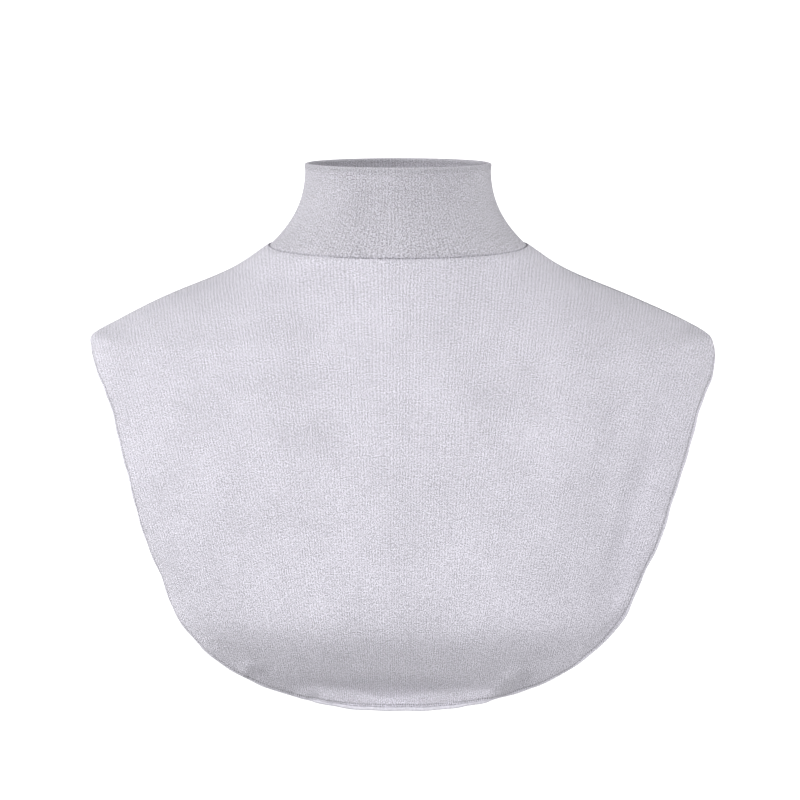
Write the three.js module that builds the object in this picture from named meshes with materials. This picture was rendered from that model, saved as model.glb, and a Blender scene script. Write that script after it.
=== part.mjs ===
// A turtleneck dickey: a folded knitted collar on a front and a back bib, open at both sides.
// It keeps the form it has when worn, as thin hollow walls. Units are millimetres, +Z is up,
// the front faces -Y, and the origin is the centre of the neck seam, where it sits on the wearer.
import * as THREE from 'three';

// The cloth, and the clearance between pieces that are sewn to each other
const BIB_WALL = 1.2;
const COLLAR_PLY = 1.0;
const COLLAR_SLIT = 0.4;
const SEAM_GAP = 0.3;

// The neck seam is an oval. Its front lies this far below its sides, and its back as far above them.
const NECK_SEAM_WIDTH = 157;
const NECK_SEAM_DEPTH = 124;
const NECK_SEAM_FALL = 11.4;

// The collar, from the neck seam up to its top fold
const COLLAR_SIDE_HEIGHT = 48.5;
const COLLAR_TOP_WIDTH = 112.5;
const COLLAR_TOP_DEPTH = 112;
const COLLAR_TOP_FALL = 7.5;
const COLLAR_LEAN = 8;
const COLLAR_FLARE_POWER = 2.4;

// The bibs: how far each hem lies below the neck seam's plane
const FRONT_DROP = 256.2;
const BACK_DROP = 236;

// The form that the cloth keeps, level by level: how far down it lies, and how far it reaches
const SHOULDER_DROP = 61;
const SHOULDER_WIDTH = 377;
const SHOULDER_FRONT = 83;
const SHOULDER_BACK = 88;
const BUST_DROP = 185;
const BUST_WIDTH = 302;
const BUST_FRONT = 120;
const BUST_BACK = 100;
const UNDERBUST_DROP = 254;
const UNDERBUST_WIDTH = 256;
const UNDERBUST_FRONT = 83;
const UNDERBUST_BACK = 84;

// The form isn't quite even: below the shoulders it stands this far to the right.
const SWAY = 4.4;

// The overlocked edging round both bibs
const EDGING_WIDTH = 2.2;
const EDGING_THICKNESS = 1.9;

// The soft relief of the cloth. A fold fades in and out over this share of its length, and a flare
// begins at its crease within this share of its width. The middle of the front hem flicks forwards,
// along a wavy line, over its last stretch.
const FOLD_DEPTH = 4;
const FOLD_FADE = 0.5;
const CREASE_SOFTNESS = 0.16;
const HEM_FLICK = 6.5;
const HEM_FLICK_REACH = 9;
const HEM_FLICK_HALF_LENGTH = 54;
const HEM_FLICK_FADE = 16;
const HEM_WAVE_LENGTH = 66;
const HEM_WAVE_MIDDLE = -4;
const HEM_WAVE_SHARE = 0.35;

// The finish
const JERSEY_COLOUR = '#d0ced7';
const DOUBLE_JERSEY_COLOUR = '#c9c7d0';
const THREAD_COLOUR = '#d3d1db';
const CLOTH_ROUGHNESS = 0.95;

// How finely each piece is divided
const FRONT_COLUMNS = 64;
const FRONT_ROWS = 15;
const BACK_COLUMNS = 40;
const BACK_ROWS = 11;
const HEM_ROW_CROWDING = 1.5;
const COLLAR_STATIONS = 44;
const COLLAR_ROWS = 5;
const FOLD_STEPS = 4;
const EDGING_SIDES = 7;

const LEVELS = {
  neck: {
    drop: 0,
    halfWidth: NECK_SEAM_WIDTH / 2,
    front: NECK_SEAM_DEPTH / 2,
    back: NECK_SEAM_DEPTH / 2,
  },
  shoulder: {
    drop: SHOULDER_DROP,
    halfWidth: SHOULDER_WIDTH / 2,
    front: SHOULDER_FRONT,
    back: SHOULDER_BACK,
  },
  bust: {
    drop: BUST_DROP,
    halfWidth: BUST_WIDTH / 2,
    front: BUST_FRONT,
    back: BUST_BACK,
  },
  underbust: {
    drop: UNDERBUST_DROP,
    halfWidth: UNDERBUST_WIDTH / 2,
    front: UNDERBUST_FRONT,
    back: UNDERBUST_BACK,
  },
};
const ZONES = {
  yoke: ['neck', 'shoulder'],
  chest: ['shoulder', 'bust'],
  midriff: ['bust', 'underbust'],
};

// The form's sections. Down, halfWidth, front and back are shares of the way through the row's zone.
// Squareness 2 is an oval; less is more pointed at the sides, and more is fuller at the corners.
// Sideways is a share of the sway.
const SECTIONS = [
  { zone: 'yoke', down: 0, halfWidth: 0, front: 0, back: 0, squareness: 2, sideways: 0 },
  { zone: 'yoke', down: 0.25, halfWidth: 0.215, front: 0.22, back: 0.33, squareness: 1.85, sideways: 0 },
  { zone: 'yoke', down: 0.54, halfWidth: 0.6, front: 0.53, back: 0.62, squareness: 1.76, sideways: 0 },
  { zone: 'yoke', down: 0.78, halfWidth: 0.876, front: 0.78, back: 0.84, squareness: 1.76, sideways: 0.36 },
  { zone: 'yoke', down: 0.9, halfWidth: 0.986, front: 0.9, back: 0.93, squareness: 1.79, sideways: 0.34 },
  { zone: 'yoke', down: 1, halfWidth: 1, front: 1, back: 1, squareness: 1.82, sideways: 0.64 },
  { zone: 'chest', down: 0.113, halfWidth: -0.03, front: 0.14, back: 0.33, squareness: 1.93, sideways: 1 },
  { zone: 'chest', down: 0.3, halfWidth: 0.11, front: 0.36, back: 0.83, squareness: 2.15, sideways: 0.93 },
  { zone: 'chest', down: 0.54, halfWidth: 0.345, front: 0.65, back: 1.17, squareness: 2.4, sideways: 0.7 },
  { zone: 'chest', down: 0.8, halfWidth: 0.65, front: 0.89, back: 1.2, squareness: 2.6, sideways: 0.45 },
  { zone: 'chest', down: 1, halfWidth: 1, front: 1, back: 1, squareness: 2.7, sideways: 0.3 },
  { zone: 'midriff', down: 0.3, halfWidth: 0.32, front: 0.06, back: 0.25, squareness: 2.75, sideways: 0.25 },
  { zone: 'midriff', down: 0.62, halfWidth: 0.64, front: 0.42, back: 0.58, squareness: 2.75, sideways: 0.25 },
  { zone: 'midriff', down: 1, halfWidth: 1, front: 1, back: 1, squareness: 2.75, sideways: 0.3 },
];

// The outline of half a bib. Ray is the share of the way from the shoulder seam to the centre line,
// drop the share of the way from the shoulder's end to the hem, and turn the angle round the form,
// from 0 degrees at the shoulder seam to 90 at the centre line.
const OUTLINE = [
  { ray: 0, drop: 0, turn: 0 },
  { ray: 0.117, drop: 0.1135, turn: 18.5 },
  { ray: 0.23, drop: 0.2835, turn: 23.8 },
  { ray: 0.34, drop: 0.462, turn: 26.5 },
  { ray: 0.45, drop: 0.647, turn: 26.5 },
  { ray: 0.505, drop: 0.7255, turn: 28.2 },
  { ray: 0.55, drop: 0.775, turn: 32.1 },
  { ray: 0.6, drop: 0.819, turn: 37.7 },
  { ray: 0.67, drop: 0.872, turn: 46.2 },
  { ray: 0.78, drop: 0.948, turn: 63.5 },
  { ray: 0.88, drop: 0.9865, turn: 77.8 },
  { ray: 1, drop: 1, turn: 90 },
];

// Soft folds of the front bib, each along a straight run from one place to another. Across is a share
// of half the shoulder width and down a share of the front hem's drop, both seen from the front; width
// is a share of half the shoulder width, and height of the fold depth. A ridge is round, or a valley
// where its height is negative. A flare is nothing on the left of its run, and on the right it rises
// evenly, by its height for each width.
const FOLDS = [
  { name: 'armhole flare', kind: 'flare', from: [0.614, 0.95], to: [0.833, 0.38], width: 0.069, height: 2.1 },
  { name: 'lower flare', kind: 'flare', from: [0.614, 0.965], to: [0.72, 0.65], width: 0.069, height: 2.3 },
  { name: 'armhole valley', kind: 'ridge', from: [0.815, 0.382], to: [0.605, 0.86], width: 0.036, height: -0.7 },
  { name: 'inner valley', kind: 'ridge', from: [0.67, 0.35], to: [0.6, 0.74], width: 0.035, height: -0.4 },
  { name: 'left chest pull', kind: 'ridge', from: [-0.78, 0.5], to: [-0.62, 0.72], width: 0.05, height: -0.3 },
  { name: 'hem tuck', kind: 'ridge', from: [-0.27, 1.015], to: [0.2, 1.025], width: 0.03, height: -0.55 },
  { name: 'hem ridge', kind: 'ridge', from: [0.35, 0.977], to: [0.264, 1.047], width: 0.02, height: 0.75 },
  { name: 'hem valley', kind: 'ridge', from: [0.386, 0.99], to: [0.313, 1.052], width: 0.022, height: -0.7 },
  { name: 'hem notch', kind: 'ridge', from: [-0.245, 1.032], to: [-0.291, 1.059], width: 0.018, height: -0.7 },
];

// The lines of the grid run from the neck seam to the edge, bowed towards the centre line by up to
// this angle, most of all near the shoulder, so that they meet the armhole squarely.
const LINE_BOW = THREE.MathUtils.degToRad(27);
const LINE_BOW_SKEW = 0.6;

// The step by which a surface is felt for its slope
const NUDGE = 0.004;

const RIGHT_ANGLE = Math.PI / 2;
const mix = (a, b, share) => a + (b - a) * share;
const clamp01 = (value) => Math.min(1, Math.max(0, value));
const smooth = (value) => clamp01(value) ** 2 * (3 - 2 * clamp01(value));

// A smooth curve through [position, value] knots, running level at both ends if it is asked to
function curveThrough(knots, levelEnds = false) {
  const positions = knots.map(([position]) => position);
  const values = knots.map(([, value]) => value);
  const curve = new THREE.CubicInterpolant(positions, values, 1);
  if (levelEnds) {
    curve.settings = { endingStart: THREE.ZeroSlopeEnding, endingEnd: THREE.ZeroSlopeEnding };
  }
  return (position) => curve.evaluate(position)[0];
}

function sectionCurve(column) {
  return curveThrough(
    SECTIONS.map((row) => {
      const [top, bottom] = ZONES[row.zone].map((name) => LEVELS[name]);
      const value = column in top ? mix(top[column], bottom[column], row[column]) : row[column];
      return [mix(top.drop, bottom.drop, row.down), value];
    }),
  );
}

const form = {
  halfWidth: sectionCurve('halfWidth'),
  front: sectionCurve('front'),
  back: sectionCurve('back'),
  squareness: sectionCurve('squareness'),
  sideways: sectionCurve('sideways'),
};

const seamTilt = NECK_SEAM_FALL / (NECK_SEAM_DEPTH / 2);

// A point of the form: drop is measured down from the neck seam's tilted plane, turn is the angle
// from the shoulder seam towards the centre line, and hand is -1 or 1 for its left or right half.
function formPoint(reach, facing, hand, drop, turn) {
  const power = 2 / form.squareness(drop);
  const x = hand * form.halfWidth(drop) * Math.max(0, Math.cos(turn)) ** power;
  const y = facing * reach(drop) * Math.max(0, Math.sin(turn)) ** power;
  return new THREE.Vector3(x + SWAY * form.sideways(drop), y, seamTilt * y - drop);
}

function bib(facing, reach, hemDrop, folds, flicked) {
  const drop = curveThrough(
    OUTLINE.map((row) => [row.ray, mix(SHOULDER_DROP, hemDrop, row.drop)]),
    true,
  );
  const turn = curveThrough(OUTLINE.map((row) => [row.ray, THREE.MathUtils.degToRad(row.turn)]));
  return { facing, reach, drop, turn, folds, hemDrop, flicked };
}

const frontBib = bib(-1, form.front, FRONT_DROP, FOLDS, true);
const backBib = bib(1, form.back, BACK_DROP, [], false);

// Nothing before the crease at 0, and from there a straight rise to 1
const flared = (share) => (share + Math.hypot(share, CREASE_SOFTNESS)) / 2;

// How far a fold brings the cloth forwards, at x and z
function foldHeight(fold, x, z) {
  const half = SHOULDER_WIDTH / 2;
  const from = new THREE.Vector2(fold.from[0] * half, -fold.from[1] * FRONT_DROP);
  const to = new THREE.Vector2(fold.to[0] * half, -fold.to[1] * FRONT_DROP);
  const run = to.clone().sub(from);
  const offset = new THREE.Vector2(x, z).sub(from);
  const along = offset.dot(run) / run.lengthSq();
  const aside = offset.cross(run) / run.length() / (fold.width * half);
  const fade = smooth(0.5 + along / FOLD_FADE) * smooth(0.5 + (1 - along) / FOLD_FADE);
  const rise = fold.kind === 'flare' ? flared(aside) : Math.exp(-aside * aside);
  return FOLD_DEPTH * fold.height * fade * rise;
}

// How far the front hem flicks forwards, at x and this far above the hem
function hemFlick(x, hemward) {
  const wave = Math.cos((2 * Math.PI * (x - HEM_WAVE_MIDDLE)) / HEM_WAVE_LENGTH);
  const reach = HEM_FLICK_REACH * (1 - HEM_WAVE_SHARE * wave);
  const fade = smooth(0.5 + (HEM_FLICK_HALF_LENGTH - Math.abs(x)) / HEM_FLICK_FADE);
  return HEM_FLICK * fade * flared(1 - hemward / reach);
}

// The bib before its folds. Across runs from -1 at the left shoulder seam to 1 at the right one,
// and down from 0 at the neck seam to 1 at the hem.
function bareBibPoint(piece, across, down) {
  const ray = 1 - Math.abs(across);
  const bow = LINE_BOW * Math.sin(Math.PI * ray ** LINE_BOW_SKEW) * 4 * down * (1 - down);
  const turn = mix(ray * RIGHT_ANGLE, piece.turn(ray), down) + bow;
  return formPoint(piece.reach, piece.facing, Math.sign(across) || 1, piece.drop(ray) * down, turn);
}

function outwardNormal(pointAt, across, down) {
  const left = pointAt(Math.max(-1, across - NUDGE), down);
  const right = pointAt(Math.min(1, across + NUDGE), down);
  const above = pointAt(across, Math.max(0, down - NUDGE));
  const below = pointAt(across, Math.min(1, down + NUDGE));
  return below.sub(above).cross(right.sub(left)).normalize();
}

function bibPoint(piece, across, down) {
  const point = bareBibPoint(piece, across, down);
  let forwards = piece.flicked ? hemFlick(point.x, piece.hemDrop * (1 - down)) : 0;
  for (const fold of piece.folds) {
    forwards += foldHeight(fold, point.x, point.z);
  }
  return point.setY(point.y - forwards);
}

// The outer face of a bib on its grid, with the outward normal at each place
function bibGrid(piece, columns, rows) {
  const grid = [];
  for (let i = 0; i <= columns; i++) {
    const across = mix(-1, 1, i / columns);
    const column = [];
    for (let j = 0; j <= rows; j++) {
      const down = 1 - (1 - j / rows) ** HEM_ROW_CROWDING;
      const at = (a, d) => bibPoint(piece, a, d);
      const point = at(across, down);
      const normal = outwardNormal(at, across, down).multiplyScalar(-piece.facing);
      if (Math.abs(across) === 1) {
        normal.setY(0).normalize();
        point.y += (piece.facing * SEAM_GAP) / 2;
      }
      column.push({ point, normal });
    }
    const neckward = column[1].point.clone().sub(column[0].point).normalize();
    column[0].point.addScaledVector(neckward, SEAM_GAP);
    grid.push(column);
  }
  return grid;
}

function meshOf(name, positions, faces, colour) {
  const geometry = new THREE.BufferGeometry();
  geometry.setAttribute('position', new THREE.Float32BufferAttribute(positions, 3));
  geometry.setIndex(faces);
  geometry.computeVertexNormals();
  const material = new THREE.MeshStandardMaterial({
    color: colour,
    roughness: CLOTH_ROUGHNESS,
    metalness: 0,
  });
  const mesh = new THREE.Mesh(geometry, material);
  mesh.name = name;
  return mesh;
}

// A sheet of even thickness: its outer grid, the same grid set in by the wall, and a rim between them
function sheetMesh(name, grid, wall, facing, colour) {
  const rows = grid[0].length;
  const positions = [];
  for (const inset of [0, wall]) {
    for (const column of grid) {
      for (const { point, normal } of column) {
        positions.push(...point.clone().addScaledVector(normal, -inset).toArray());
      }
    }
  }
  const outer = (i, j) => i * rows + j;
  const inner = (i, j) => grid.length * rows + outer(i, j);
  const faces = [];
  const quad = (a, b, c, d) => {
    const corners = facing < 0 ? [a, b, c, a, c, d] : [a, c, b, a, d, c];
    faces.push(...corners);
  };
  const lastColumn = grid.length - 1;
  const lastRow = rows - 1;
  for (let i = 0; i < lastColumn; i++) {
    for (let j = 0; j < lastRow; j++) {
      quad(outer(i, j), outer(i, j + 1), outer(i + 1, j + 1), outer(i + 1, j));
      quad(inner(i, j), inner(i + 1, j), inner(i + 1, j + 1), inner(i, j + 1));
    }
    quad(outer(i, 0), outer(i + 1, 0), inner(i + 1, 0), inner(i, 0));
    quad(outer(i, lastRow), inner(i, lastRow), inner(i + 1, lastRow), outer(i + 1, lastRow));
  }
  for (let j = 0; j < lastRow; j++) {
    quad(outer(0, j), inner(0, j), inner(0, j + 1), outer(0, j + 1));
    quad(outer(lastColumn, j), outer(lastColumn, j + 1), inner(lastColumn, j + 1), inner(lastColumn, j));
  }
  return meshOf(name, positions, faces, colour);
}

// A body swept through closed sections, each a list of as many points, and closed on itself
function closedSweep(name, sections, colour) {
  const sides = sections[0].length;
  const positions = sections.flat().flatMap((point) => point.toArray());
  const faces = [];
  for (let i = 0; i < sections.length; i++) {
    const next = (i + 1) % sections.length;
    for (let k = 0; k < sides; k++) {
      const after = (k + 1) % sides;
      const [a, b] = [i * sides + k, i * sides + after];
      const [c, d] = [next * sides + after, next * sides + k];
      faces.push(a, d, c, a, c, b);
    }
  }
  return meshOf(name, positions, faces, colour);
}

// The collar's outer face: up runs from 0 at the neck seam to 1 at the top fold.
function collarPoint(angle, up) {
  const flare = (1 - up) ** COLLAR_FLARE_POWER;
  const halfWidth = mix(COLLAR_TOP_WIDTH, NECK_SEAM_WIDTH, flare) / 2;
  const halfDepth = mix(COLLAR_TOP_DEPTH, NECK_SEAM_DEPTH, flare) / 2;
  const seamZ = NECK_SEAM_FALL * Math.sin(angle);
  const topZ = COLLAR_SIDE_HEIGHT + COLLAR_TOP_FALL * Math.sin(angle);
  return new THREE.Vector3(
    halfWidth * Math.cos(angle),
    halfDepth * Math.sin(angle) - COLLAR_LEAN * up,
    mix(seamZ, topZ, up),
  );
}

// One section of the collar: a strip folded over at the top, two plies with a slit between them
function collarSection(angle) {
  const rows = [];
  for (let j = 0; j <= COLLAR_ROWS; j++) {
    const up = j / COLLAR_ROWS;
    const rising = collarPoint(angle, Math.min(1, up + NUDGE))
      .sub(collarPoint(angle, Math.max(0, up - NUDGE)))
      .normalize();
    const round = collarPoint(angle + NUDGE, up).sub(collarPoint(angle - NUDGE, up));
    const inward = rising.clone().cross(round).normalize();
    const point = collarPoint(angle, up);
    if (j === 0) {
      point.addScaledVector(rising, SEAM_GAP / 2);
    }
    rows.push({ point, rising, inward });
  }
  const thickness = 2 * COLLAR_PLY + COLLAR_SLIT;
  const setIn = (depth) => ({ point, inward }) => point.clone().addScaledVector(inward, depth);
  const top = rows[rows.length - 1];
  const foldArc = (radius, steps) => {
    const arc = [];
    for (let k = 1; k < steps; k++) {
      const sweep = (Math.PI * k) / steps;
      arc.push(
        top.point
          .clone()
          .addScaledVector(top.inward, thickness / 2 - radius * Math.cos(sweep))
          .addScaledVector(top.rising, radius * Math.sin(sweep)),
      );
    }
    return arc;
  };
  return [
    ...rows.map(setIn(0)),
    ...foldArc(thickness / 2, FOLD_STEPS),
    ...[...rows].reverse().map(setIn(thickness)),
    ...rows.map(setIn(thickness - COLLAR_PLY)),
    ...foldArc(COLLAR_SLIT / 2, 2).reverse(),
    ...[...rows].reverse().map(setIn(COLLAR_PLY)),
  ];
}

function collar() {
  const sections = [];
  for (let i = 0; i < COLLAR_STATIONS; i++) {
    sections.push(collarSection((2 * Math.PI * i) / COLLAR_STATIONS));
  }
  return closedSweep('collar', sections, DOUBLE_JERSEY_COLOUR);
}

// The edge of both bibs as one loop, from the left shoulder over the front hem and back over the
// back hem. Where the bibs meet at a shoulder they share one place.
function edgeLoop(frontGrid, backGrid) {
  const edgeOf = (column) => {
    const { point, normal } = column[column.length - 1];
    return { middle: point.clone().addScaledVector(normal, -BIB_WALL / 2), normal };
  };
  const shared = (a, b) => ({
    middle: a.middle.clone().add(b.middle).multiplyScalar(0.5),
    normal: a.normal,
  });
  const front = frontGrid.map(edgeOf);
  const back = backGrid.map(edgeOf).reverse();
  const right = shared(front[front.length - 1], back[0]);
  const left = shared(front[0], back[back.length - 1]);
  return [left, ...front.slice(1, -1), right, ...back.slice(1, -1)];
}

function edging(frontGrid, backGrid) {
  const loop = edgeLoop(frontGrid, backGrid);
  const sections = loop.map(({ middle, normal }, i) => {
    const before = loop[(i + loop.length - 1) % loop.length].middle;
    const after = loop[(i + 1) % loop.length].middle;
    const along = after.clone().sub(before).normalize();
    const away = along.clone().cross(normal).normalize();
    const up = away.clone().cross(along);
    const centre = middle.clone().addScaledVector(away, SEAM_GAP + EDGING_WIDTH / 2);
    const section = [];
    for (let k = 0; k < EDGING_SIDES; k++) {
      const angle = (2 * Math.PI * k) / EDGING_SIDES;
      section.push(
        centre
          .clone()
          .addScaledVector(away, (Math.cos(angle) * EDGING_WIDTH) / 2)
          .addScaledVector(up, (Math.sin(angle) * EDGING_THICKNESS) / 2),
      );
    }
    return section;
  });
  return closedSweep('edging', sections, THREAD_COLOUR);
}

const frontGrid = bibGrid(frontBib, FRONT_COLUMNS, FRONT_ROWS);
const backGrid = bibGrid(backBib, BACK_COLUMNS, BACK_ROWS);

const dickey = new THREE.Group();
dickey.name = 'turtleneck_dickey';
dickey.add(sheetMesh('front_bib', frontGrid, BIB_WALL, -1, JERSEY_COLOUR));
dickey.add(sheetMesh('back_bib', backGrid, BIB_WALL, 1, JERSEY_COLOUR));
dickey.add(collar());
dickey.add(edging(frontGrid, backGrid));

export default dickey;
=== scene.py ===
"""A turtleneck dickey of fine lavender grey jersey, in the form it has when worn.

The pieces come in the order in which it is sewn: the front bib, the back bib, the folded collar and
the overlocked edging. Lengths are metres, +Z is up, the front faces -Y, and the origin is the
centre of the neck seam.
"""

import math

import bmesh
import bpy
import numpy as np
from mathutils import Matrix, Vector


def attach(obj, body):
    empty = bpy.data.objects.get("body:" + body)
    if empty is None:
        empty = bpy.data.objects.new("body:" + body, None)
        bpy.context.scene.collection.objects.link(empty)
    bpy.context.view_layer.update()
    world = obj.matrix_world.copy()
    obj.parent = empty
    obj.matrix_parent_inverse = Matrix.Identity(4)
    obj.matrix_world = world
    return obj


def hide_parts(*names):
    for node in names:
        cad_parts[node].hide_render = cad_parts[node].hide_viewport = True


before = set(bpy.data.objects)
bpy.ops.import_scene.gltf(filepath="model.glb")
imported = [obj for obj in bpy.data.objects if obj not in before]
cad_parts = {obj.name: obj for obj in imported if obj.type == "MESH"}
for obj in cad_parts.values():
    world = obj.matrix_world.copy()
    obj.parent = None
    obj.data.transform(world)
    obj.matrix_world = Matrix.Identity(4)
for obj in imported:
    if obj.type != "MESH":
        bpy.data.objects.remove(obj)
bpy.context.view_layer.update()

# The front bib. One ply of fine melange jersey, drawn smoothly over the shoulders and the chest. It
# is cut in one curve from shoulder to shoulder, sewn to the collar at its top and to the back bib
# along its shoulders, and it pulls into soft folds beside the armholes and along its hem.
PLY = 0.0009

# The oval of the neck seam and how far it falls to the front, then how far below it the hems, the
# shoulders and the bust lie
NECK_SEAM_WIDTH = 0.157
NECK_SEAM_DEPTH = 0.124
NECK_SEAM_FALL = 0.0114
FRONT_DROP = 0.2562
BACK_DROP = 0.236
SHOULDER_DROP = 0.061
SHOULDER_WIDTH = 0.377
BUST_DROP = 0.185

# The form sways to the right by up to this, most below the shoulders
SWAY = 0.0044

# The middle of the front hem flicks forwards below a wavy line. A crease is soft over a share of
# its width, and a fold fades in and out over a share of its length.
HEM_FLICK = 0.0065
HEM_FLICK_REACH = 0.009
HEM_FLICK_HALF_LENGTH = 0.054
HEM_FLICK_FADE = 0.016
HEM_WAVE_LENGTH = 0.066
HEM_WAVE_MIDDLE = -0.004
HEM_WAVE_SHARE = 0.35
CREASE_SOFTNESS = 0.16
FOLD_FADE = 0.5

# The form's levels: its drop below the neck seam, its half width, and its reach to front and back
LEVELS = {
    "neck": (0, NECK_SEAM_WIDTH / 2, NECK_SEAM_DEPTH / 2, NECK_SEAM_DEPTH / 2),
    "shoulder": (SHOULDER_DROP, SHOULDER_WIDTH / 2, 0.083, 0.088),
    "bust": (BUST_DROP, 0.151, 0.120, 0.100),
    "underbust": (0.254, 0.128, 0.083, 0.084),
}

# The form's sections between two levels: shares of the way down, outwards, forwards and backwards,
# the squareness of the section, where 2 is an oval, and its share of the sway to the right
SECTIONS = [
    ("neck", "shoulder", 0, 0, 0, 0, 2, 0),
    ("neck", "shoulder", 0.25, 0.215, 0.22, 0.33, 1.85, 0),
    ("neck", "shoulder", 0.54, 0.6, 0.53, 0.62, 1.76, 0),
    ("neck", "shoulder", 0.78, 0.876, 0.78, 0.84, 1.76, 0.36),
    ("neck", "shoulder", 0.9, 0.986, 0.9, 0.93, 1.79, 0.34),
    ("neck", "shoulder", 1, 1, 1, 1, 1.82, 0.64),
    ("shoulder", "bust", 0.113, -0.03, 0.14, 0.33, 1.93, 1),
    ("shoulder", "bust", 0.3, 0.11, 0.36, 0.83, 2.15, 0.93),
    ("shoulder", "bust", 0.54, 0.345, 0.65, 1.17, 2.4, 0.7),
    ("shoulder", "bust", 0.8, 0.65, 0.89, 1.2, 2.6, 0.45),
    ("shoulder", "bust", 1, 1, 1, 1, 2.7, 0.3),
    ("bust", "underbust", 0.3, 0.32, 0.06, 0.25, 2.75, 0.25),
    ("bust", "underbust", 0.62, 0.64, 0.42, 0.58, 2.75, 0.25),
    ("bust", "underbust", 1, 1, 1, 1, 2.75, 0.3),
]

# The cut edge of half a bib: the share of the way round from the shoulder to the centre line, the
# share of the drop from the shoulder's end to the hem, and the turn round the form in degrees
CUT_EDGE = [
    (0, 0, 0),
    (0.117, 0.1135, 18.5),
    (0.23, 0.2835, 23.8),
    (0.34, 0.462, 26.5),
    (0.45, 0.647, 26.5),
    (0.505, 0.7255, 28.2),
    (0.55, 0.775, 32.1),
    (0.6, 0.819, 37.7),
    (0.67, 0.872, 46.2),
    (0.78, 0.948, 63.5),
    (0.88, 0.9865, 77.8),
    (1, 1, 90),
]

# Soft folds of the front, each from one place to another, seen from the front: across as a share of
# half the shoulder width, down as a share of the front drop. Then its width as a share of half the
# shoulder width, and how far it comes forwards. A ridge is round, or a valley where that is
# negative. A flare is nothing on the left of its run, and on the right it rises evenly, by that for
# each width.
FOLDS = [
    ("armhole flare", "flare", (0.614, 0.95), (0.833, 0.38), 0.069, 0.0084),
    ("lower flare", "flare", (0.614, 0.965), (0.72, 0.65), 0.069, 0.0092),
    ("armhole valley", "ridge", (0.815, 0.382), (0.605, 0.86), 0.036, -0.0028),
    ("inner valley", "ridge", (0.67, 0.35), (0.6, 0.74), 0.035, -0.0016),
    ("left chest pull", "ridge", (-0.78, 0.5), (-0.62, 0.72), 0.05, -0.0012),
    ("edge tuck", "ridge", (0.709, 0.829), (0.497, 1.002), 0.012, -0.0016),
    ("hem tuck", "ridge", (-0.27, 1.015), (0.2, 1.025), 0.03, -0.0022),
    ("hem ridge", "ridge", (0.35, 0.977), (0.264, 1.047), 0.02, 0.003),
    ("hem valley", "ridge", (0.386, 0.99), (0.313, 1.052), 0.022, -0.0028),
    ("hem notch", "ridge", (-0.245, 1.032), (-0.291, 1.059), 0.018, -0.0028),
    ("left gather", "ridge", (-0.453, 0.955), (-0.477, 0.994), 0.016, 0.0018),
    ("left gather's valley", "ridge", (-0.419, 0.976), (-0.388, 1.026), 0.02, -0.0018),
]

# The lines of the grid bow towards the centre line by up to this angle, most near the shoulder
LINE_BOW = math.radians(27)
LINE_BOW_SKEW = 0.6

# The step by which a surface is felt for its slope, and how the cut edge is measured
NUDGE = 0.004
EDGE_PLACES = 801
EDGE_STEP = 0.01

# Two small ripples run along the cut edge, away from the shoulders, and the needles pull a groove
RIPPLE = 0.00022
RIPPLE_PERIOD = 0.021
RIPPLE_REACH = 0.007
SECOND_RIPPLE_SHARE = 0.6
SECOND_RIPPLE_PERIOD = 0.0357
SHOULDER_CALM = 0.1
NEEDLE_GROOVE = 0.00015
NEEDLE_PLACE = 0.0011
NEEDLE_WIDTH = 0.0007

# The neck seam tilts forwards, and it sinks in at the front and the back
SEAM_TILT = NECK_SEAM_FALL / (NECK_SEAM_DEPTH / 2)
SEAM_SINK = 0.0010
SEAM_SINK_REACH = 0.0016
SEAM_SINK_FADE = 0.3

# The wales run together downwards, towards a place this far below the neck seam
WALE_FAN = 0.595
GRAIN_STEPS = 40

# How finely the front is divided, with rows that crowd at the seam and at the edge by this share
FRONT_COLUMNS, FRONT_ROWS = 310, 150
CROWDING = 0.85


def mix(a, b, share):
    return a + (b - a) * share


def smooth(value):
    value = np.clip(value, 0, 1)
    return value * value * (3 - 2 * value)


def curve(places, values, level_ends=False):
    """A smooth curve through the values at the places, each slope the mean of the two beside it."""
    places, values = np.array(places, float), np.array(values, float)
    steps = np.diff(places)
    secants = np.diff(values) / steps
    slopes = np.concatenate([secants[:1], (secants[1:] + secants[:-1]) / 2, secants[-1:]])
    if level_ends:
        slopes[[0, -1]] = 0

    def at(place):
        place = np.clip(place, places[0], places[-1])
        i = np.clip(np.searchsorted(places, place, side="right") - 1, 0, len(steps) - 1)
        p = (place - places[i]) / steps[i]
        value = mix(values[i], values[i + 1], p * p * (3 - 2 * p))
        start = slopes[i] * steps[i] * p * (1 - p) ** 2
        end = slopes[i + 1] * steps[i] * p * p * (1 - p)
        return value + start - end

    return at


drops = [mix(LEVELS[top][0], LEVELS[low][0], down) for top, low, down, *_ in SECTIONS]
half_width = curve(drops, [mix(LEVELS[r[0]][1], LEVELS[r[1]][1], r[3]) for r in SECTIONS])
reach = {
    -1: curve(drops, [mix(LEVELS[r[0]][2], LEVELS[r[1]][2], r[4]) for r in SECTIONS]),
    1: curve(drops, [mix(LEVELS[r[0]][3], LEVELS[r[1]][3], r[5]) for r in SECTIONS]),
}
squareness = curve(drops, [row[6] for row in SECTIONS])
sway = curve(drops, [SWAY * row[7] for row in SECTIONS])
edge_turn = curve([row[0] for row in CUT_EDGE], [math.radians(row[2]) for row in CUT_EDGE])
edge_drop = {
    side: curve(
        [row[0] for row in CUT_EDGE],
        [mix(SHOULDER_DROP, hem, row[1]) for row in CUT_EDGE],
        level_ends=True,
    )
    for side, hem in ((-1, FRONT_DROP), (1, BACK_DROP))
}


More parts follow.
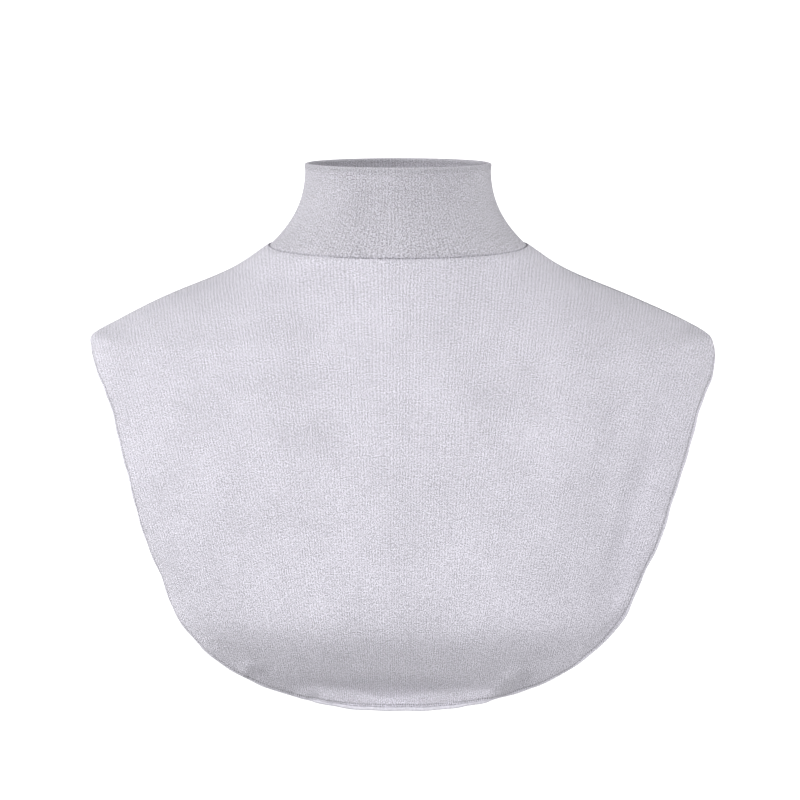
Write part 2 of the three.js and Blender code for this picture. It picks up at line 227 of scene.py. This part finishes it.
def bare_bib(side, across, down):
    """The bib without folds, and its drop. Side is -1 for the front; across runs from -1 at the
    left shoulder seam to 1 at the right one, and down from 0 at the neck seam to 1 at the hem."""
    ray = 1 - np.abs(across)
    bow = LINE_BOW * np.sin(np.pi * ray**LINE_BOW_SKEW) * 4 * down * (1 - down)
    turn = mix(ray * np.pi / 2, edge_turn(ray), down) + bow
    drop = edge_drop[side](ray) * down
    power = 2 / squareness(drop)
    x = np.where(across < 0, -1, 1) * half_width(drop) * np.clip(np.cos(turn), 0, 1) ** power
    y = side * reach[side](drop) * np.clip(np.sin(turn), 0, 1) ** power
    return np.stack([x + sway(drop), y, SEAM_TILT * y - drop], -1), drop


def unit(vectors):
    return vectors / np.linalg.norm(vectors, axis=-1, keepdims=True)


def outward(surface, side, across, down):
    """The outward normal of a surface, felt a small step away on each side."""
    left = surface(np.maximum(-1, across - NUDGE), down)
    right = surface(np.minimum(1, across + NUDGE), down)
    above = surface(across, np.maximum(0, down - NUDGE))
    below = surface(across, np.minimum(1, down + NUDGE))
    return -side * unit(np.cross(below - above, right - left))


def flare(share):
    """Nothing before the crease at 0, and from there a straight rise to 1."""
    return (share + np.sqrt(share**2 + CREASE_SOFTNESS**2)) / 2


def fold_lift(points):
    """How far the front's folds bring it forwards."""
    half = SHOULDER_WIDTH / 2
    lift = np.zeros(len(points))
    for _, kind, start, end, width, height in FOLDS:
        begin = np.array([start[0] * half, -start[1] * FRONT_DROP])
        run = np.array([end[0] * half, -end[1] * FRONT_DROP]) - begin
        offset = points[:, [0, 2]] - begin
        along = offset @ run / (run @ run)
        beside = (offset[:, 0] * run[1] - offset[:, 1] * run[0]) / np.linalg.norm(run)
        aside = beside / (width * half)
        fade = smooth(0.5 + along / FOLD_FADE) * smooth(0.5 + (1 - along) / FOLD_FADE)
        lift += height * fade * (np.exp(-(aside**2)) if kind == "ridge" else flare(aside))
    return lift


def hem_flick(x, hemward):
    """How far the front hem flicks forwards, in waves along its middle."""
    wave = np.cos(2 * np.pi * (x - HEM_WAVE_MIDDLE) / HEM_WAVE_LENGTH)
    reach_here = HEM_FLICK_REACH * (1 - HEM_WAVE_SHARE * wave)
    fade = smooth(0.5 + (HEM_FLICK_HALF_LENGTH - np.abs(x)) / HEM_FLICK_FADE)
    return HEM_FLICK * fade * flare(1 - hemward / reach_here)


def folded_bib(side, across, down):
    """The bib with its folds."""
    points, _ = bare_bib(side, across, down)
    if side < 0:
        points[:, 1] -= fold_lift(points) + hem_flick(points[:, 0], FRONT_DROP * (1 - down))
    return points


def edge_table(side):
    """For places across: how far along the cut edge they lie, and how fast their lines leave it."""
    across, ones = np.linspace(-1, 1, EDGE_PLACES), np.ones(EDGE_PLACES)
    edge, inside = folded_bib(side, across, ones), folded_bib(side, across, ones - EDGE_STEP)
    along = np.concatenate([[0], np.cumsum(np.linalg.norm(np.diff(edge, axis=0), axis=1))])
    leaving = np.cross((inside - edge) / EDGE_STEP, unit(np.gradient(edge, axis=0)))
    return across, along, np.linalg.norm(leaving, axis=-1)


edge_tables = {side: edge_table(side) for side in (-1, 1)}


def from_edge(side, across, down):
    """How far along the cut edge a place is, and how far in from it."""
    places, along, pace = edge_tables[side]
    return np.interp(across, places, along), np.interp(across, places, pace) * (1 - down)


def bib(side, across, down):
    """The bib as it lies: rippled and grooved along its edge, and sunk at the neck seam."""
    along, inward = from_edge(side, across, down)
    waves = np.sin(2 * np.pi * along / RIPPLE_PERIOD)
    waves = waves + SECOND_RIPPLE_SHARE * np.sin(2 * np.pi * along / SECOND_RIPPLE_PERIOD)
    calm = smooth((1 - np.abs(across)) / SHOULDER_CALM)
    lift = RIPPLE * waves * calm * np.exp(-inward / RIPPLE_REACH)
    lift = lift - NEEDLE_GROOVE * np.exp(-(((inward - NEEDLE_PLACE) / NEEDLE_WIDTH) ** 2))
    middle = smooth((1 - np.abs(across)) / SEAM_SINK_FADE)
    seamward = bare_bib(side, across, down)[1] / SEAM_SINK_REACH
    lift = lift - SEAM_SINK * middle * np.exp(-(seamward**2))
    normals = outward(lambda a, d: folded_bib(side, a, d), side, across, down)
    return folded_bib(side, across, down) + normals * lift[:, None]


def grain(side, points, drop):
    """Where the points lie on the flat cloth, in millimetres: across the wales, and along them."""
    ladder = mix(drop, BUST_DROP, np.linspace(0, 1, GRAIN_STEPS)[:, None])
    breadth = np.where(ladder > SHOULDER_DROP, SHOULDER_WIDTH / 2, half_width(ladder))
    share = np.clip(np.abs(points[:, 0] - sway(drop)) / breadth, 0, 1)
    y = side * reach[side](ladder) * (1 - share ** squareness(ladder)) ** (1 / squareness(ladder))
    z = SEAM_TILT * y - ladder
    rise = np.sqrt(np.diff(y, axis=0) ** 2 + np.diff(z, axis=0) ** 2).sum(0)
    along = np.where(drop < BUST_DROP, rise, -rise)
    return np.stack([points[:, 0] * WALE_FAN / (points[:, 2] + WALE_FAN), along], -1) * 1000


def uv_map(mesh, name, places):
    layer = mesh.uv_layers.new(name=name)
    corners = np.zeros(len(mesh.loops), int)
    mesh.loops.foreach_get("vertex_index", corners)
    layer.uv.foreach_set("vector", places[corners].astype(np.float32).ravel())


def mapped_grid(name, columns, rows, place, maps=()):
    """A grid of the given steps, each vertex moved by place(u, v), with u and v from 0 to 1."""
    bm = bmesh.new()
    bmesh.ops.create_grid(bm, x_segments=columns, y_segments=rows, size=0.5)
    flat = np.array([v.co[:2] for v in bm.verts]) + 0.5
    points = place(flat[:, 0], flat[:, 1])
    for vertex, point in zip(bm.verts, points):
        vertex.co = point
    mesh = bpy.data.meshes.new(name)
    bm.to_mesh(mesh)
    bm.free()
    for map_name, places in maps:
        uv_map(mesh, map_name, places(flat[:, 0], flat[:, 1]))
    mesh.polygons.foreach_set("use_smooth", [True] * len(mesh.polygons))
    piece = bpy.data.objects.new(name, mesh)
    bpy.context.scene.collection.objects.link(piece)
    return piece


def bib_cloth(name, side, columns, rows):
    """A bib with three maps in millimetres: the knit's, whose wales run together; the fibre's, on
    which flecks keep one size; and the edge's, along the cut edge and in from it."""
    def spread(u, v):
        return 2 * u - 1, v - CROWDING * np.sin(2 * np.pi * v) / (2 * np.pi)

    def place(u, v):
        return bib(side, *spread(u, v))

    def knit(u, v):
        points, drop = bare_bib(side, *spread(u, v))
        return grain(side, points, drop)

    def fibre(u, v):
        points, drop = bare_bib(side, *spread(u, v))
        return np.stack([points[:, 0] * 1000, grain(side, points, drop)[:, 1]], -1)

    def edge(u, v):
        return np.stack(from_edge(side, *spread(u, v)), -1) * 1000

    maps = [("knit", knit), ("fibre", fibre), ("edge", edge)]
    cloth = mapped_grid(name, columns, rows, place, maps)
    if side > 0:
        cloth.data.flip_normals()
    wall = cloth.modifiers.new("ply", "SOLIDIFY")
    wall.thickness = PLY
    wall.offset = -1
    wall.use_even_offset = True
    return cloth


def jersey(name, colour, fleck, rows):
    """Melange jersey: wales of V-shaped loops, flecks and short slubs of lighter and darker fibre,
    and a soft nap. Each row is a line of painted shade along the edge, or of painted highlight
    where
    its darkness is negative: how far in, its half width and the pitch of its stitches in
    millimetres, and how dark it is, or how light where that is negative."""
    material = bpy.data.materials.new(name)
    material.use_nodes = True
    nodes, links = material.node_tree.nodes, material.node_tree.links
    shader = nodes["Principled BSDF"]
    shader.inputs["Roughness"].default_value = 0.92
    shader.inputs["Specular IOR Level"].default_value = 0.25
    shader.inputs["Sheen Weight"].default_value = 0.25
    shader.inputs["Sheen Roughness"].default_value = 0.6

    def math_node(operation, *values):
        node = nodes.new("ShaderNodeMath")
        node.operation = operation
        for socket, value in zip(node.inputs, values):
            if isinstance(value, (int, float)):
                socket.default_value = value
            else:
                links.new(value, socket)
        return node.outputs[0]

    def add(*values):
        total = values[0]
        for value in values[1:]:
            total = math_node("ADD", total, value)
        return total

    def times(a, b):
        return math_node("MULTIPLY", a, b)

    def map_of(name):
        node = nodes.new("ShaderNodeUVMap")
        node.uv_map = name
        split = nodes.new("ShaderNodeSeparateXYZ")
        links.new(node.outputs["UV"], split.inputs[0])
        return node.outputs["UV"], split.outputs["X"], split.outputs["Y"]

    _, across, along = map_of("knit")
    fibre, _, _ = map_of("fibre")

    def noise_at(scale_u, scale_v, detail, seed, weight):
        stretch = nodes.new("ShaderNodeMapping")
        stretch.inputs["Scale"].default_value = (scale_u, scale_v, 1)
        stretch.inputs["Location"].default_value = (seed, seed * 0.7, seed * 0.3)
        links.new(fibre, stretch.inputs["Vector"])
        texture = nodes.new("ShaderNodeTexNoise")
        texture.inputs["Scale"].default_value = 1
        texture.inputs["Detail"].default_value = detail
        texture.inputs["Roughness"].default_value = 0.65
        links.new(stretch.outputs["Vector"], texture.inputs["Vector"])
        return times(math_node("SUBTRACT", texture.outputs["Fac"], 0.5), weight)

    waver = noise_at(0.1, 0.04, 1, 3.1, 2.5)
    wale = times(add(across, waver), math.pi / WALE_PITCH)
    wales = math_node("COSINE", times(wale, 2))
    vee = times(math_node("ABSOLUTE", math_node("SINE", wale)), 0.5 * WALE_PITCH)
    drift = noise_at(0.4, 0.4, 1, 9.4, 0.8)
    loops = math_node("SINE", times(add(along, vee, drift), 2 * math.pi / COURSE_PITCH))
    flecks = noise_at(1.7, 1.5, 1, 0.0, fleck)
    slubs = add(noise_at(0.5, 2.2, 1, 12.3, fleck * 0.22), noise_at(2.2, 0.5, 1, 7.7, fleck * 0.16))
    clouds = noise_at(0.03, 0.03, 2, 5.5, 0.3)
    tone = add(flecks, slubs, clouds, times(wales, WALE_TONE), times(loops, LOOP_TONE), 0.5)
    relief = add(times(wales, 0.3), times(loops, 0.2), flecks)
    _, edge_along, inward = map_of("edge")
    # Each row is a line of painted shade along the edge, or of painted highlight where its darkness
    # is negative
    lines = []
    for place, width, pitch, depth in rows:
        offset = math_node("DIVIDE", math_node("SUBTRACT", inward, place), width)
        line = math_node("EXPONENT", times(times(offset, offset), -1))
        dots = add(times(math_node("COSINE", times(edge_along, 2 * math.pi / pitch)), 0.4), 0.6)
        lines.append(times(times(line, dots), depth))
    painted_shade_and_light = add(*lines)
    relief = math_node("SUBTRACT", relief, times(painted_shade_and_light, 2))
    ramp = nodes.new("ShaderNodeValToRGB")
    links.new(tone, ramp.inputs["Fac"])
    dark, light = ramp.color_ramp.elements
    dark.position, light.position = 0.0, 1.0
    dark.color = (*[c * 0.55 for c in colour], 1)
    light.color = (*[min(1, c * 1.45) for c in colour], 1)
    # The painted lines of shade and highlight darken or lighten the knit's colour here
    shaded = nodes.new("ShaderNodeVectorMath")
    shaded.operation = "SCALE"
    links.new(ramp.outputs["Color"], shaded.inputs[0])
    links.new(math_node("SUBTRACT", 1, painted_shade_and_light), shaded.inputs["Scale"])
    links.new(shaded.outputs[0], shader.inputs["Base Color"])
    bump = nodes.new("ShaderNodeBump")
    bump.inputs["Strength"].default_value = 0.7
    bump.inputs["Distance"].default_value = 0.0003
    links.new(relief, bump.inputs["Height"])
    links.new(bump.outputs["Normal"], shader.inputs["Normal"])
    return material


# The knit's pitches in millimetres and how strongly its wales and loops show, and the two lines of
# painted shade where the needle stitches pull holes and a groove beside the overlocked edge
WALE_PITCH = 2.2
COURSE_PITCH = 1.6
WALE_TONE = 0.11
LOOP_TONE = 0.05
NEEDLE_SHADE_ROWS = [(1.1, 0.6, 1.3, 0.65), (3.2, 0.5, 1.3, 0.08)]
JERSEY_COLOUR = (0.638, 0.62, 0.688)
bib_jersey = jersey("melange_jersey", JERSEY_COLOUR, 3, NEEDLE_SHADE_ROWS)

front_bib = bib_cloth("front_bib_cloth", -1, FRONT_COLUMNS, FRONT_ROWS)
front_bib.data.materials.append(bib_jersey)
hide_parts("front_bib")
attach(front_bib, "root")

# The back bib. The same jersey and cut, a little shorter, and smooth where it lies on the back.
BACK_COLUMNS, BACK_ROWS = 160, 90
back_bib = bib_cloth("back_bib_cloth", 1, BACK_COLUMNS, BACK_ROWS)
back_bib.data.materials.append(bib_jersey)
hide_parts("back_bib")
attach(back_bib, "root")

# The collar. One strip of the same jersey, joined to a ring and folded over at the top, so that it
# stands double. Both raw edges go into the neck seam.

# Its height at the sides, the oval of its top, and how far that tilts and leans forwards
COLLAR_SIDE_HEIGHT = 0.0485
COLLAR_TOP_WIDTH = 0.1125
COLLAR_TOP_DEPTH = 0.112
COLLAR_TOP_FALL = 0.0075
COLLAR_LEAN = 0.008
COLLAR_FLARE_POWER = 2.4

# The ply, and the fold: its radius, its share of the strip's width, and how it puffs out
COLLAR_PLY = 0.0009
COLLAR_FOLD_RADIUS = 0.0012
FOLD_SHARE = 0.06
RIM_PUFF = 0.0005
RIM_PUFF_REACH = 0.002

# How finely it is divided, the length of its knit's map round the neck, and how its seam sinks
COLLAR_COLUMNS, COLLAR_ROWS = 220, 64
COLLAR_ROUND = 0.4
COLLAR_NUDGE = 0.002
COLLAR_SINK_FADE = 0.6

# Along the fold the cloth carries a painted highlight, with a soft line of painted shade below it.
# Neither line has stitches, so its pitch is far longer than the collar.
UNBROKEN = 1e6
RIM_HIGHLIGHT_AND_SHADE_ROWS = [(0, 1.4, UNBROKEN, -0.3), (3.8, 1.3, UNBROKEN, 0.13)]


def collar_face(angle, up):
    """The outer face of the collar, from the neck seam at 0 up to the fold at 1."""
    widening = (1 - up) ** COLLAR_FLARE_POWER
    half_w = mix(COLLAR_TOP_WIDTH, NECK_SEAM_WIDTH, widening) / 2
    half_d = mix(COLLAR_TOP_DEPTH, NECK_SEAM_DEPTH, widening) / 2
    seam_z = NECK_SEAM_FALL * np.sin(angle)
    top_z = COLLAR_SIDE_HEIGHT + COLLAR_TOP_FALL * np.sin(angle)
    y = half_d * np.sin(angle) - COLLAR_LEAN * up
    return np.stack([half_w * np.cos(angle), y, mix(seam_z, top_z, up)], -1)


def collar_point(u, v):
    """The strip runs up the outside, over the fold and down the inside."""
    angle = 2 * np.pi * u
    half = (1 - FOLD_SHARE) / 2
    rise = np.where(v < 0.5, v / half, (1 - v) / half)
    up = np.clip(rise, 0, 1)
    above = collar_face(angle, np.minimum(1, up + COLLAR_NUDGE))
    below = collar_face(angle, np.maximum(0, up - COLLAR_NUDGE))
    rising = unit(above - below)
    ringward = collar_face(angle + COLLAR_NUDGE, up) - collar_face(angle - COLLAR_NUDGE, up)
    inward = unit(np.cross(rising, ringward))
    sweep = np.pi * np.clip((v - half) / FOLD_SHARE, 0, 1)
    depth = COLLAR_FOLD_RADIUS * (1 - np.cos(sweep))
    crest = COLLAR_FOLD_RADIUS * np.sin(sweep)
    middle = smooth(np.abs(np.sin(angle)) / COLLAR_SINK_FADE)
    seamward = up * COLLAR_SIDE_HEIGHT / SEAM_SINK_REACH
    sink = SEAM_SINK * middle * np.exp(-(seamward**2)) * (v < 0.5)
    foldward = (1 - up) * COLLAR_SIDE_HEIGHT / RIM_PUFF_REACH
    puff = RIM_PUFF * np.exp(-(foldward**2)) * np.cos(sweep)
    face = collar_face(angle, up)
    return face + inward * (depth + sink - puff)[:, None] + rising * crest[:, None]


def collar_knit(u, v):
    return np.stack([u * COLLAR_ROUND, v * 2 * COLLAR_SIDE_HEIGHT], -1) * 1000


def collar_rim(u, v):
    from_fold = np.abs(v - 0.5) * 2 * COLLAR_SIDE_HEIGHT
    return np.stack([u * COLLAR_ROUND, from_fold], -1) * 1000


collar_maps = [("knit", collar_knit), ("fibre", collar_knit), ("edge", collar_rim)]
collar = mapped_grid("collar_cloth", COLLAR_COLUMNS, COLLAR_ROWS, collar_point, collar_maps)
weld = bmesh.new()
weld.from_mesh(collar.data)
bmesh.ops.remove_doubles(weld, verts=weld.verts, dist=1e-6)
weld.to_mesh(collar.data)
weld.free()
ply = collar.modifiers.new("ply", "SOLIDIFY")
ply.thickness = COLLAR_PLY
ply.offset = -1
COLLAR_COLOUR = (0.524, 0.51, 0.562)
collar.data.materials.append(jersey("collar_jersey", COLLAR_COLOUR, 3.9, RIM_HIGHLIGHT_AND_SHADE_ROWS))
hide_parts("collar")
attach(collar, "root")

# The overlocked edging. Both bibs' cut edges are rolled and bound in one run of close overlock
# stitches in matching thread, round the hems and the armholes and over the ends of the shoulders.

# The roll laps over the edge of the cloth, so its gap is below 0. It is turned outwards, and has
# only a share of the cloth's own run to the back.
ROLL_WIDTH = 0.0026
ROLL_THICKNESS = 0.0019
ROLL_GAP = -0.0005
ROLL_TURN = 0.35
ROLL_STEPS, ROLL_SIDES = 1100, 10
CORE_INSET = 1.4
FRONT_EDGE_PLACES, BACK_EDGE_PLACES = 800, 600
LOOP_NUDGE = 0.001

# One thread winds round the roll, a slanting turn for each stitch
STITCH_PITCH = 0.00115
STITCH_SLANT = 0.9
THREAD_RADIUS = 0.00026
STEPS_A_TURN, THREAD_SIDES = 9, 4
TURN_NUDGE = 0.01


def edge_of(side, columns):
    """The middle of a bib's cut edge, from its left end to its right one, and its normals."""
    across = np.linspace(-1, 1, columns)
    down = np.ones(columns)
    points = bib(side, across, down)
    normals = outward(lambda a, d: folded_bib(side, a, d), side, across, down)
    normals[[0, -1], 1] = 0
    normals = unit(normals)
    return points - normals * PLY / 2, normals


def edge_loop():
    """Both edges as one closed loop: its points, its normals, and how far along it each lies."""
    front, front_normals = edge_of(-1, FRONT_EDGE_PLACES)
    back, back_normals = edge_of(1, BACK_EDGE_PLACES)
    points = np.concatenate([front[:-1], back[::-1][:-1]])
    normals = np.concatenate([front_normals[:-1], back_normals[::-1][:-1]])
    closed = np.concatenate([points, points[:1]])
    along = np.concatenate([[0], np.cumsum(np.linalg.norm(np.diff(closed, axis=0), axis=1))])
    return closed, np.concatenate([normals, normals[:1]]), along


loop_points, loop_normals, loop_along = edge_loop()
loop_length = loop_along[-1]


def on_loop(distance):
    """The roll's centre and its directions at a distance along the loop: along it, away from the
    cloth, and out of the cloth."""
    def at(values, d):
        d = np.mod(d, loop_length)
        return np.stack([np.interp(d, loop_along, values[:, k]) for k in range(3)], -1)

    normal = unit(at(loop_normals, distance))
    ahead, behind = at(loop_points, distance + LOOP_NUDGE), at(loop_points, distance - LOOP_NUDGE)
    along = unit(ahead - behind)
    away = np.cross(along, normal) * (1, ROLL_TURN, 1)
    away = unit(away - along * (away * along).sum(-1, keepdims=True))
    centre = at(loop_points, distance) + away * (ROLL_GAP + ROLL_WIDTH / 2)
    return centre, along, away, np.cross(away, along)


def roll_place(u, v):
    centre, _, away, out = on_loop(u * loop_length)
    turn = -2 * np.pi * v
    core = 1 - CORE_INSET * THREAD_RADIUS / ROLL_WIDTH
    return (
        centre
        + away * (core * np.cos(turn) * ROLL_WIDTH / 2)[:, None]
        + out * (core * np.sin(turn) * ROLL_THICKNESS / 2)[:, None]
    )


def wound(distance, turn):
    centre, along, away, out = on_loop(distance + STITCH_SLANT * STITCH_PITCH * np.sin(turn) / 2)
    return (
        centre
        + away * ((ROLL_WIDTH / 2 - THREAD_RADIUS) * np.cos(turn))[:, None]
        + out * ((ROLL_THICKNESS / 2 - THREAD_RADIUS) * np.sin(turn))[:, None]
    )


stitch_count = round(loop_length / STITCH_PITCH)


def thread_place(u, v):
    """One thread wound round the roll, a turn for each stitch."""
    turn = 2 * np.pi * stitch_count * u
    centre = wound(u * loop_length, turn)
    next_place = (u + TURN_NUDGE / stitch_count) * loop_length
    ahead = unit(wound(next_place, turn + 2 * np.pi * TURN_NUDGE) - centre)
    spine = on_loop(u * loop_length)[0]
    rising = centre - spine
    rising = unit(rising - ahead * (rising * ahead).sum(-1, keepdims=True))
    beside = np.cross(ahead, rising)
    round_ = 2 * np.pi * v
    return centre + THREAD_RADIUS * (
        rising * np.cos(round_)[:, None] + beside * np.sin(round_)[:, None]
    )


roll = mapped_grid("overlock_edging", ROLL_STEPS, ROLL_SIDES, roll_place)
thread_steps = stitch_count * STEPS_A_TURN
thread = mapped_grid("overlock_thread", thread_steps, THREAD_SIDES, thread_place)
bound = bmesh.new()
bound.from_mesh(roll.data)
bound.from_mesh(thread.data)
bmesh.ops.remove_doubles(bound, verts=bound.verts, dist=1e-6)
bmesh.ops.recalc_face_normals(bound, faces=bound.faces)
bound.to_mesh(roll.data)
bound.free()
bpy.data.objects.remove(thread)
THREAD_COLOUR = (0.7, 0.685, 0.75)


def thread_finish(name, colour):
    """Spun polyester thread: a slight gloss and a little unevenness along it."""
    material = bpy.data.materials.new(name)
    material.use_nodes = True
    nodes, links = material.node_tree.nodes, material.node_tree.links
    shader = nodes["Principled BSDF"]
    shader.inputs["Roughness"].default_value = 0.6
    shader.inputs["Sheen Weight"].default_value = 0.2
    place = nodes.new("ShaderNodeTexCoord")
    texture = nodes.new("ShaderNodeTexNoise")
    texture.inputs["Scale"].default_value = 900
    texture.inputs["Detail"].default_value = 2
    links.new(place.outputs["Object"], texture.inputs["Vector"])
    ramp = nodes.new("ShaderNodeValToRGB")
    dark, light = ramp.color_ramp.elements
    dark.position, light.position = 0.3, 0.7
    dark.color = (*[c * 0.86 for c in colour], 1)
    light.color = (*[c * 1.1 for c in colour], 1)
    links.new(texture.outputs["Fac"], ramp.inputs["Fac"])
    links.new(ramp.outputs["Color"], shader.inputs["Base Color"])
    return material


roll.data.materials.append(thread_finish("overlock_thread", THREAD_COLOUR))
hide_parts("edging")
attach(roll, "root")

# The setting: a camera level with the chest, a pale floor that bends up into a round white wall,
# and soft lights from the upper left, both sides and behind. The backdrop is there for the camera
# alone.
CAMERA_DISTANCE = 1.8
CAMERA_SIDE = 0.0012
CAMERA_HEIGHT = -0.094
FRAME_WIDTH = 0.4864
BACKDROP_RADIUS = 3.2
BACKDROP_BEND = 0.9
WALL_HEIGHT = 4.5
BACKDROP_COLUMNS, BACKDROP_ROWS = 96, 80
FLOOR_DEPTH = -1.15
FLOOR_GLOW, WALL_GLOW = 0.5, 1.0
LIGHT_TARGET = Vector((0, 0, -0.1))

camera_data = bpy.data.cameras.new("camera")
camera_data.lens = camera_data.sensor_width * CAMERA_DISTANCE / FRAME_WIDTH
camera = bpy.data.objects.new("camera", camera_data)
camera.location = (CAMERA_SIDE, -CAMERA_DISTANCE, CAMERA_HEIGHT)
camera.rotation_euler = (math.pi / 2, 0, 0)
bpy.context.scene.collection.objects.link(camera)
bpy.context.scene.camera = camera


def backdrop_place(u, v):
    """V runs out along the floor, round the bend and up the wall."""
    flat = BACKDROP_RADIUS - BACKDROP_BEND
    quarter = BACKDROP_BEND * np.pi / 2
    run = v * (flat + quarter + WALL_HEIGHT)
    arc = np.clip((run - flat) / BACKDROP_BEND, 0, np.pi / 2)
    radius = np.minimum(run, flat) + BACKDROP_BEND * np.sin(arc)
    z = FLOOR_DEPTH + BACKDROP_BEND * (1 - np.cos(arc)) + np.maximum(0, run - flat - quarter)
    turn = 2 * np.pi * u
    return np.stack([radius * np.cos(turn), radius * np.sin(turn), z], -1)


backdrop = mapped_grid("backdrop", BACKDROP_COLUMNS, BACKDROP_ROWS, backdrop_place)
for rays in ("diffuse", "glossy", "transmission", "shadow"):
    setattr(backdrop, f"visible_{rays}", False)
pale = bpy.data.materials.new("pale_backdrop")
pale.use_nodes = True
nodes, links = pale.node_tree.nodes, pale.node_tree.links
shader = nodes["Principled BSDF"]
shader.inputs["Base Color"].default_value = (0.8, 0.8, 0.8, 1)
shader.inputs["Roughness"].default_value = 0.9
shader.inputs["Emission Color"].default_value = (1, 1, 1, 1)
place = nodes.new("ShaderNodeTexCoord")
split = nodes.new("ShaderNodeSeparateXYZ")
glow = nodes.new("ShaderNodeMapRange")
glow.inputs["From Min"].default_value = FLOOR_DEPTH
glow.inputs["From Max"].default_value = FLOOR_DEPTH + BACKDROP_BEND
glow.inputs["To Min"].default_value = FLOOR_GLOW
glow.inputs["To Max"].default_value = WALL_GLOW
links.new(place.outputs["Object"], split.inputs[0])
links.new(split.outputs["Z"], glow.inputs["Value"])
links.new(glow.outputs["Result"], shader.inputs["Emission Strength"])
backdrop.data.materials.append(pale)


def soft_light(name, azimuth, elevation, strength, distance=2.4, size=1.3):
    """A square soft light that looks at the chest. Azimuth 0 is the camera's side, and negative is
    left. Strength is the share of full white that it gives on a white surface facing it."""
    a, e = math.radians(azimuth), math.radians(elevation)
    toward = Vector((math.sin(a) * math.cos(e), -math.cos(a) * math.cos(e), math.sin(e)))
    data = bpy.data.lights.new(name, "AREA")
    data.shape = "SQUARE"
    data.size = size
    data.energy = strength * (math.pi * distance) ** 2
    light = bpy.data.objects.new(name, data)
    light.location = LIGHT_TARGET + toward * distance
    light.rotation_euler = toward.to_track_quat("Z", "Y").to_euler()
    bpy.context.scene.collection.objects.link(light)


soft_light("key", -40, 30, 0.35)
soft_light("left", -80, 12, 0.425)
soft_light("left_rim", -120, 0, 0.56)
soft_light("fill", 26, 0, 0.66)
soft_light("right_rim", 118, 10, 0.3)
world = bpy.data.worlds.new("studio")
world.use_nodes = True
world.node_tree.nodes["Background"].inputs["Color"].default_value = (1, 1, 1, 1)
world.node_tree.nodes["Background"].inputs["Strength"].default_value = 0.3
bpy.context.scene.world = world
bpy.context.scene.view_settings.view_transform = "Standard"
